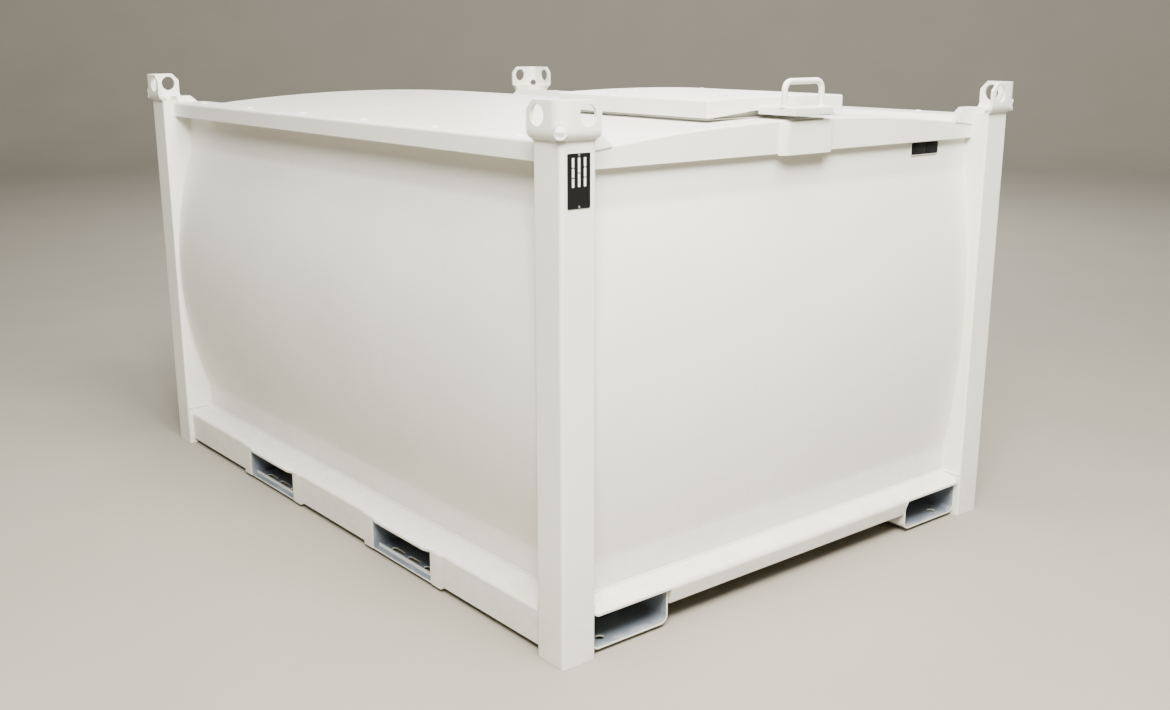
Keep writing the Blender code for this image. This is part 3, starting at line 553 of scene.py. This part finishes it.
def hatchLid():
    low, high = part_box("access_lid")
    half, foot = high.y, low.z
    outline = [(-half, foot), (-lidLook["reliefHalf"], foot), (-lidLook["reliefFlat"], lidLook["reliefTop"])]
    outline += [(-y, z) for y, z in reversed(outline)]
    for i in range(lidLook["rows"] + 1):
        y = half - 2 * half * i / lidLook["rows"]
        outline.append((y, high.z - lidLook["crown"] * (y / half) ** 2))
    mesh = prism([(low.x, y, z) for y, z in outline], (high.x - low.x, 0, 0))
    bmesh.ops.delete(mesh, geom=[f for f in mesh.faces if f.normal.z < -0.05], context="FACES")
    foldAngle = math.radians(lidLook["foldAngle"])
    folds = [e for e in mesh.edges if len(e.link_faces) == 2 and e.calc_face_angle() > foldAngle]
    roundEdges(mesh, folds, lidLook["fold"])
    cutAcross(mesh, lambda face: face.normal.z > 0.9, 0, low.x, high.x, lidLook["columns"])
    for vert in mesh.verts:
        inset = min(vert.co.x - low.x, high.x - vert.co.x, half - abs(vert.co.y))
        keep = min(max((inset - lidLook["fold"]) / lidLook["fade"], 0.0), 1.0)
        wave = noise.noise(vert.co * (1000 / lidLook["waveMm"])) - lidLook["waveSink"]
        vert.co.z += wave * keep * lidLook["waveDepthMm"] / 1000
    return foldSheet(makePiece("hatch_lid", mesh, whitePaint), lidLook["sheet"])


settle(hatchLid(), "lid", "white_paint", "access_lid")


# Hasp: a small folded box on the lid's front skirt that covers the lock
haspLook = {"sheet": 0.003, "fold": 0.0035}


def haspCover():
    low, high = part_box("hasp_flap")
    mesh = block(low, high)
    openFaces = [f for f in mesh.faces if f.normal.z < -0.5 or f.normal.x < -0.5]
    bmesh.ops.delete(mesh, geom=openFaces, context="FACES")
    folds = [e for e in mesh.edges if len(e.link_faces) == 2]
    roundEdges(mesh, folds, haspLook["fold"])
    return foldSheet(makePiece("hasp_cover", mesh, whitePaint), haspLook["sheet"])


settle(haspCover(), "lid", "white_paint", "hasp_flap")


# Lifting handle: a round bar bent to a U and welded upright on the hasp
handleLook = {
    "radius": 0.0078,
    "bend": 0.022,
    "sides": 20,
    "bendSteps": 10,
    "legSteps": 3,
    "gripSteps": 4,
    "weld": 0.0028,
}


def liftingHandle():
    low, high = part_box("lift_handle")
    radius, bend = handleLook["radius"], handleLook["bend"]
    x, half = (low.x + high.x) / 2, high.y - radius
    top = high.z - radius
    mesh = bmesh.new()
    ring = ringAt(mesh, (x, -half, low.z), (0, 0, 1), radius, handleLook["sides"])
    quarterTurn = {"steps": handleLook["bendSteps"], "axis": (1, 0, 0), "angle": math.radians(-90)}
    ring = drawOn(mesh, ring, (0, 0, top - bend - low.z), handleLook["legSteps"])
    ring = drawOn(mesh, ring, centre=(x, bend - half, top - bend), **quarterTurn)
    ring = drawOn(mesh, ring, (0, 2 * (half - bend), 0), handleLook["gripSteps"])
    ring = drawOn(mesh, ring, centre=(x, half - bend, top - bend), **quarterTurn)
    drawOn(mesh, ring, (0, 0, low.z - top + bend), handleLook["legSteps"])
    bmesh.ops.recalc_face_normals(mesh, faces=mesh.faces)
    return makePiece("lifting_handle", mesh, whitePaint)


settle(liftingHandle(), "lid", "white_paint", "lift_handle")


# Lock guard: a pressed strip on the end rail, splayed on its near side
guardLook = {"sheet": 0.003, "splay": 0.020, "fold": 0.005}


def lockGuard():
    low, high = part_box("lock_guard")
    path = [(low.x, low.y), (high.x, low.y + guardLook["splay"]), (high.x, high.y), (low.x, high.y)]
    mesh = bmesh.new()
    verts = [mesh.verts.new((x, y, low.z)) for x, y in path]
    edges = [mesh.edges.new(pair) for pair in zip(verts, verts[1:])]
    drawn = bmesh.ops.extrude_edge_only(mesh, edges=edges)["geom"]
    bmesh.ops.translate(mesh, vec=(0, 0, high.z - low.z),
                        verts=[part for part in drawn if isinstance(part, bmesh.types.BMVert)])
    bmesh.ops.recalc_face_normals(mesh, faces=mesh.faces)
    if sum(f.normal.x for f in mesh.faces) < 0:
        bmesh.ops.reverse_faces(mesh, faces=mesh.faces)
    roundEdges(mesh, [e for e in mesh.edges if len(e.link_faces) == 2], guardLook["fold"])
    return foldSheet(makePiece("lock_guard_pressing", mesh, whitePaint), guardLook["sheet"])


settle(lockGuard(), "tank", "white_paint", "lock_guard")


# Dome-headed bolts on washers, painted over with the sheet below them
boltLook = {
    "head": 0.0100,
    "rise": 0.0032,
    "washer": 0.0135,
    "washerRise": 0.0012,
    "washerRim": 0.7,  # how much of its thickness stands upright
    "washerEase": 0.0006,
    "steps": 24,
    "arcs": 5,
}


def domeBolt(centre, scale=1.0, direction=(0, 0, 1)):
    washer, seat, head = boltLook["washer"], boltLook["washerRise"], boltLook["head"]
    profile = [(washer, 0.0), (washer, seat * boltLook["washerRim"]), (washer - boltLook["washerEase"], seat),
               (head, seat)]
    for i in range(1, boltLook["arcs"] + 1):
        turn = math.radians(90) * i / boltLook["arcs"]
        profile.append((head * math.cos(turn), seat + boltLook["rise"] * math.sin(turn)))
    mesh = bmesh.new()
    verts = [mesh.verts.new((r * scale, 0.0, z * scale)) for r, z in profile]
    edges = [mesh.edges.new(pair) for pair in zip(verts, verts[1:])]
    bmesh.ops.spin(mesh, geom=verts + edges, cent=(0, 0, 0), axis=(0, 0, 1), dvec=(0, 0, 0),
                   angle=math.radians(360), steps=boltLook["steps"], use_merge=True, use_duplicate=False)
    bmesh.ops.remove_doubles(mesh, verts=mesh.verts, dist=mergeReach)
    bmesh.ops.recalc_face_normals(mesh, faces=mesh.faces)
    turn = Vector((0, 0, 1)).rotation_difference(Vector(direction)).to_matrix()
    bmesh.ops.rotate(mesh, cent=(0, 0, 0), matrix=turn, verts=mesh.verts)
    bmesh.ops.translate(mesh, vec=centre, verts=mesh.verts)
    return mesh


ledgeBolts = {"stations": (-0.894, -0.536, -0.179, 0.179, 0.536, 0.894), "setback": 0.079, "sink": 0.0006}
lidBolts = {"x": 0.530, "groups": (-0.130, 0.130), "pitch": 0.060, "scale": 0.85, "sink": 0.0010}


def ledgeBoltRows():
    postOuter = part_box("corner_post_rear_right")[1].y
    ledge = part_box("front_top_rail")[1].z - ledgeBolts["sink"]
    y = postOuter - ledgeBolts["setback"]
    spots = [Vector((x, side * y, ledge)) for side in sides.values() for x in ledgeBolts["stations"]]
    return makePiece("ledge_bolts", joined([domeBolt(spot) for spot in spots]), whitePaint)


def lidBoltGroups():
    low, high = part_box("access_lid")
    spots = []
    for group in lidBolts["groups"]:
        for step in (-1, 0, 1):
            y = group + step * lidBolts["pitch"]
            top = high.z - lidLook["crown"] * (y / high.y) ** 2
            spots.append(Vector((lidBolts["x"], y, top - lidBolts["sink"])))
    return makePiece("lid_bolts", joined([domeBolt(spot, lidBolts["scale"]) for spot in spots]), whitePaint)


settle(ledgeBoltRows(), "tank", "white_paint")
settle(lidBoltGroups(), "lid", "white_paint")
print("lid, hasp, handle, guard and bolts made")


# Data plate: a black anodised sheet with blank bare fields, held by two rivets
plateLook = {
    "corner": 0.002,
    "edge": 0.0001,
    "fieldCorner": 0.0006,
    "fieldCornerSteps": 3,
    "fieldRise": 0.0003,
    "fieldSink": 0.0004,
    "columnsMm": ((12.3, 17.9), (28.9, 34.5), (45.3, 50.9)),  # from the plate's outer edge
    "rowsMm": (((9.6, 29.9), (32.3, 51.2), (53.8, 72.7)),  # from its top edge
               ((9.6, 41.0), (43.4, 72.0)),
               ((9.6, 29.1), (31.6, 50.6), (53.0, 71.8))),
    "rivetsMm": ((32.0, 4.0), (32.0, 115.0)),
    "rivetScale": 0.22,
    "rivetSink": 0.0001,
}


def dataPlate():
    low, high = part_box("data_plate")
    mesh = block(low, high)
    roundEdges(mesh, edgesAlongX(mesh), plateLook["corner"])
    parts = [mesh]
    for (left, right), rows in zip(plateLook["columnsMm"], plateLook["rowsMm"]):
        for top, foot in rows:
            field = block((high.x - plateLook["fieldSink"], low.y + left / 1000, high.z - foot / 1000),
                          (high.x + plateLook["fieldRise"], low.y + right / 1000, high.z - top / 1000))
            roundEdges(field, edgesAlongX(field), plateLook["fieldCorner"], plateLook["fieldCornerSteps"])
            for face in field.faces:
                face.material_index = 1
            parts.append(field)
    plate = makePiece("blank_data_plate", joined(parts), blackPlate)
    plate.data.materials.append(paleField)
    settle(softenEdges(plate, plateLook["edge"]), "tank", "black_plate", "data_plate")
    seat = high.x - plateLook["rivetSink"]
    heads = [domeBolt((seat, low.y + y / 1000, high.z - z / 1000), plateLook["rivetScale"], (1, 0, 0))
             for y, z in plateLook["rivetsMm"]]
    return settle(makePiece("plate_rivets", joined(heads), zincPlate), "tank", "black_plate")


dataPlate()


# Port in the end wall's head: a rubber-lined throat behind a thin flange that was painted with the wall,
# closed by a pair of black rubber leaves, a dark sheet put as painted shade over the port's inside, that
# leave only the flange's rim white.
portLook = {
    "edge": 0.0005,
    "flange": 0.0030,
    "flangeCorner": 0.0075,
    "rim": 0.0022,
    "leafRise": 0.0008,
    "leafThick": 0.0018,
    "slit": 0.0008,
    "leafCorner": 0.0055,
    "leafRound": 0.0005,
    "leafRoundSteps": 2,
}


def portPieces():
    low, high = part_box("port_trim")
    flange = block((high.x - portLook["flange"], low.y, low.z), high)
    roundEdges(flange, edgesAlongX(flange), portLook["flangeCorner"])
    for face in flange.faces:
        face.material_index = 1
    trim = makePiece("port_trim_moulded", joined([mergedCopy("port_trim"), flange]), blackRubber)
    trim.data.materials.append(whitePaint)
    settle(softenEdges(trim, portLook["edge"]), "tank", "black_rubber", "port_trim")
    middle, rim, front = (low.y + high.y) / 2, portLook["rim"], high.x + portLook["leafRise"]
    half = portLook["slit"] / 2
    leaves = []
    # painted shade: the black leaves darken the whole opening
    for start, end in ((low.y + rim, middle - half), (high.y - rim, middle + half)):
        leaf = block((front - portLook["leafThick"], min(start, end), low.z + rim),
                     (front, max(start, end), high.z - rim))
        outer = [e for e in edgesAlongX(leaf) if all(abs(v.co.y - start) < hair for v in e.verts)]
        roundEdges(leaf, outer, portLook["leafCorner"])
        brim = [e for e in leaf.edges if all(v.co.x > front - hair for v in e.verts)]
        roundEdges(leaf, brim, portLook["leafRound"], portLook["leafRoundSteps"])
        leaves.append(leaf)
    return settle(makePiece("port_shade_leaves", joined(leaves), blackRubber), "tank", "black_rubber")


portPieces()


# Weld beads in the corners where walls, rails, brackets and posts meet, painted over
weldLook = {
    "radius": 0.0034,
    "fine": 0.0026,
    "filler": 0.0065,
    "fillerInset": 0.0035,
    "fillerDrop": 0.0005,
    "fillerStart": 0.004,
    "capFoot": {1: 0.184, -1: 0.145},  # from the post's outer side, by end
    "archRadius": 6.3,
    "railFoldFoot": 1.205,
    "footStart": 0.014,
    "padReach": 0.012,
    "stepMm": 4.5,
    "sides": 8,
    "ringSteps": 20,
    "sharpAngle": 60,
    "uneven": 0.17,
    "rippleMm": 3.8,
}


def bowOut(z, bow):
    # how far a bowed wall stands out at a height
    half = (wallLook["high"] - wallLook["low"]) / 2
    away = z - wallLook["low"] - half
    if abs(away) >= half:
        return 0.0
    radius = (half * half + bow * bow) / (2 * bow)
    return math.sqrt(radius * radius - away * away) - radius + bow


def archTop(y, crown):
    # height of the end rails' arched top at a distance from the middle
    return crown - y * y / (2 * weldLook["archRadius"])


def weldRun(start, end, radius):
    start, run = Vector(start), Vector(end) - Vector(start)
    mesh = bmesh.new()
    ring = ringAt(mesh, start, run, radius, weldLook["sides"])
    drawOn(mesh, ring, run, max(int(run.length * 1000 / weldLook["stepMm"]), 2))
    axis = run.normalized()
    for vert in mesh.verts:
        onLine = start + axis * (vert.co - start).dot(axis)
        swell = 1 + noise.noise(onLine * (1000 / weldLook["rippleMm"])) * weldLook["uneven"]
        vert.co = onLine + (vert.co - onLine) * swell
    bmesh.ops.holes_fill(mesh, edges=mesh.edges, sides=weldLook["sides"])
    return mesh


def bowedRun(x, y, low, high, across, outward, bow):
    mesh = weldRun((x, y, low), (x, y, high), weldLook["radius"])
    for vert in mesh.verts:
        vert.co[across] += outward * bowOut(vert.co.z, bow)
    return mesh


def weldRing(centre, radius, bead):
    # a bead round the foot of an upright bar
    mesh = bmesh.new()
    ring = ringAt(mesh, (radius, 0, 0), (0, 1, 0), bead, weldLook["sides"])
    bmesh.ops.spin(mesh, geom=ring, cent=(0, 0, 0), axis=(0, 0, 1), dvec=(0, 0, 0), angle=math.radians(360),
                   steps=weldLook["ringSteps"], use_merge=True, use_duplicate=False)
    bmesh.ops.translate(mesh, vec=centre, verts=mesh.verts)
    return mesh


def frameWelds():
    postLow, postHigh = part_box("corner_post_rear_right")
    sideRailLow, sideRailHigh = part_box("rear_top_rail")
    endRailLow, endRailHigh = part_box("right_end_top_rail")
    sideFootHigh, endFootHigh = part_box("rear_bottom_rail")[1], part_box("right_end_bottom_rail")[1]
    foot, bead, fine = sideFootHigh.z, weldLook["radius"], weldLook["fine"]
    sideFace, endFace = wallLook["sideFace"], wallLook["endFace"]
    padX, padY, top = postHigh.x - weldLook["padReach"], postHigh.y - weldLook["padReach"], postHigh.z
    runs = []
    for corner, e, s in corners:
        x, y = e * postLow.x, s * postLow.y
        runs.append(bowedRun(x, s * sideFace, foot, sideRailLow.z, 1, s, wallLook["sideBow"]))
        runs.append(bowedRun(e * endFace, y, foot, endRailLow.z, 0, e, wallLook["endBow"]))
        railY, railX = s * sideRailHigh.y, e * endRailHigh.x
        runs.append(weldRun((x, railY, sideRailLow.z), (x, railY, sideRailHigh.z), fine))
        runs.append(weldRun((railX, y, endRailLow.z), (railX, y, weldLook["railFoldFoot"]), fine))
        runs.append(weldRun((x, s * sideFace, foot), (x, s * sideFootHigh.y, foot), bead))
        runs.append(weldRun((e * endFace, y, foot), (e * endFootHigh.x, y, foot), bead))
        footY = s * sideFootHigh.y
        runs.append(weldRun((x, footY, weldLook["footStart"]), (x, footY, foot), fine))
        runs.append(weldRun((e * postHigh.x, s * padY, top), (e * postHigh.x, y, top), fine))
        runs.append(weldRun((e * padX, s * postHigh.y, top), (x, s * postHigh.y, top), fine))
        # filler hides the joint below the cap's end face
        fillerX = e * (endRailHigh.x - weldLook["fillerInset"])
        stops = (postLow.y + weldLook["fillerStart"], postHigh.y - weldLook["capFoot"][e])
        ridge = [(fillerX, s * stop, archTop(stop, endRailHigh.z) - weldLook["fillerDrop"]) for stop in stops]
        runs.append(weldRun(*ridge, weldLook["filler"]))
    for side in sides.values():
        runs.append(weldRun((-postLow.x, side * sideFace, foot), (postLow.x, side * sideFace, foot), bead))
    for end in ends.values():
        runs.append(weldRun((end * endFace, -postLow.y, foot), (end * endFace, postLow.y, foot), bead))
    mesh = joined(runs)
    bmesh.ops.recalc_face_normals(mesh, faces=mesh.faces)
    return settle(makePiece("painted_welds", mesh, whitePaint, weldLook["sharpAngle"]), "tank", "white_paint")


def handleWelds():
    low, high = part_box("lift_handle")
    x, y = (low.x + high.x) / 2, high.y - handleLook["radius"]
    mesh = joined([weldRing((x, side * y, low.z), handleLook["radius"], handleLook["weld"])
                   for side in (-1, 1)])
    bmesh.ops.recalc_face_normals(mesh, faces=mesh.faces)
    return settle(makePiece("handle_welds", mesh, whitePaint, weldLook["sharpAngle"]), "lid", "white_paint")


frameWelds()
handleWelds()


# Small plates welded in below the ledges' ends, where these stand above the arched end rails
endPlateLook = {"thick": 0.003, "sink": 0.001, "ledgeInset": 0.150, "edge": 0.0006}


def ledgeEndPlates():
    railLow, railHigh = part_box("rear_top_rail")
    postLow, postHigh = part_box("corner_post_rear_right")
    crown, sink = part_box("right_end_top_rail")[1].z, endPlateLook["sink"]
    ledge = railHigh.z - sink
    outline = [(postLow.y, archTop(postLow.y, crown) - sink), (postLow.y, ledge),
               (postHigh.y - endPlateLook["ledgeInset"], ledge),
               (railLow.y, archTop(railLow.y, crown) - sink)]
    plates = [prism([(e * railHigh.x, s * y, z) for y, z in outline], (e * endPlateLook["thick"], 0, 0))
              for corner, e, s in corners]
    made = softenEdges(makePiece("ledge_end_plates", joined(plates), whitePaint), endPlateLook["edge"])
    return settle(made, "tank", "white_paint")


ledgeEndPlates()
print("plate, port and welds made")


# Studio: a round pale floor that sweeps up into a backdrop, soft lamps and the photograph's camera
studio = {
    "floorColour": "#928C7F",
    "floorCloud": "#8A8477",
    "flatRadius": 11.0,
    "sweep": 4.0,
    "sweepSteps": 12,
    "wallTop": 7.0,
    "turns": 96,
    "sharpAngle": 60,
    "airColour": "#F3F4F6",
    "airStrength": 0.20,
}


def studioFloor():
    made, tree, shader = newMaterial("plain_studio_floor", 0.75)
    place = addNode(tree, "ShaderNodeTexCoord").outputs["Object"]
    cloud = addNode(tree, "ShaderNodeTexNoise", {"Scale": 1.6, "Detail": 4.0}, {"Vector": place})
    tone = addNode(tree, "ShaderNodeMix", {"data_type": "RGBA", 6: linearColour(studio["floorColour"]),
                                           7: linearColour(studio["floorCloud"])}, {0: cloud.outputs["Fac"]})
    tree.links.new(tone.outputs[2], shader.inputs["Base Color"])
    radius, sweep = studio["flatRadius"], studio["sweep"]
    profile = [(0.0, 0.0), (radius, 0.0)]
    for i in range(1, studio["sweepSteps"] + 1):
        turn = math.radians(90) * i / studio["sweepSteps"]
        profile.append((radius + sweep * math.sin(turn), sweep - sweep * math.cos(turn)))
    profile.append((radius + sweep, studio["wallTop"]))
    mesh = bmesh.new()
    verts = [mesh.verts.new((r, 0.0, z)) for r, z in profile]
    edges = [mesh.edges.new(pair) for pair in zip(verts, verts[1:])]
    bmesh.ops.spin(mesh, geom=verts + edges, cent=(0, 0, 0), axis=(0, 0, 1), dvec=(0, 0, 0),
                   angle=math.radians(360), steps=studio["turns"], use_merge=True, use_duplicate=False)
    bmesh.ops.remove_doubles(mesh, verts=mesh.verts, dist=hair)
    bmesh.ops.recalc_face_normals(mesh, faces=mesh.faces)
    floor = makePiece("studio_floor", mesh, made, studio["sharpAngle"])
    if floor.data.polygons[0].normal.z < 0:
        floor.data.flip_normals()
    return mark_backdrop(floor)


lamps = {
    "key": {"at": (3.4, -2.8, 4.2), "aim": (0, 0, 0.6), "size": 1.8, "watts": 800, "colour": "#FFFDF6"},
    "side": {"at": (3.3, -0.6, 4.8), "aim": (0, 0, 0.6), "size": 1.8, "watts": 470, "colour": "#FFFDF8"},
    "top": {"at": (1.4, -0.4, 5.6), "aim": (0, 0, 0.6), "size": 3.0, "watts": 440, "colour": "#FFFFFF"},
    "back": {"at": (-4.6, 4.6, 3.6), "aim": (0, 0, 0.6), "size": 3.0, "watts": 150, "colour": "#FFFFFF"},
    "wash": {"at": (-3.0, 3.4, 6.2), "aim": (-9.0, 9.5, 1.0), "size": 3.0, "watts": 900, "colour": "#FFFFFF"},
}


def placeLamps():
    for name, lamp in lamps.items():
        light = bpy.data.lights.new(name + "_softbox", "AREA")
        light.shape = "SQUARE"
        light.size = lamp["size"]
        light.energy = lamp["watts"]
        light.color = linearColour(lamp["colour"])[:3]
        lampObject = bpy.data.objects.new(name + "_softbox", light)
        lampObject.location = lamp["at"]
        lampObject.rotation_mode = "QUATERNION"
        lampObject.rotation_quaternion = (Vector(lamp["at"]) - Vector(lamp["aim"])).to_track_quat("Z", "Y")
        lampObject.visible_camera = False
        bpy.context.scene.collection.objects.link(lampObject)
    world = bpy.data.worlds.new("studio_air")
    world.use_nodes = True
    air = world.node_tree.nodes["Background"]
    air.inputs["Color"].default_value = linearColour(studio["airColour"])
    air.inputs["Strength"].default_value = studio["airStrength"]
    bpy.context.scene.world = world


view = {
    "at": (3.2555, -2.4844, 1.4514),
    "azimuth": 50.74,
    "elevation": 14.31,
    "lens": 38.65,
    "sensor": 36.0,
}


def placeCamera():
    camera = bpy.data.cameras.new("photograph_view")
    camera.lens = view["lens"]
    camera.sensor_width = view["sensor"]
    azimuth, elevation = math.radians(view["azimuth"]), math.radians(view["elevation"])
    back = Vector((math.sin(azimuth) * math.cos(elevation), -math.cos(azimuth) * math.cos(elevation),
                   math.sin(elevation)))
    holder = bpy.data.objects.new("photograph_view", camera)
    holder.location = view["at"]
    holder.rotation_mode = "QUATERNION"
    holder.rotation_quaternion = back.to_track_quat("Z", "Y")
    bpy.context.scene.collection.objects.link(holder)
    bpy.context.scene.camera = holder


studioFloor()
placeLamps()
placeCamera()
print("studio ready")
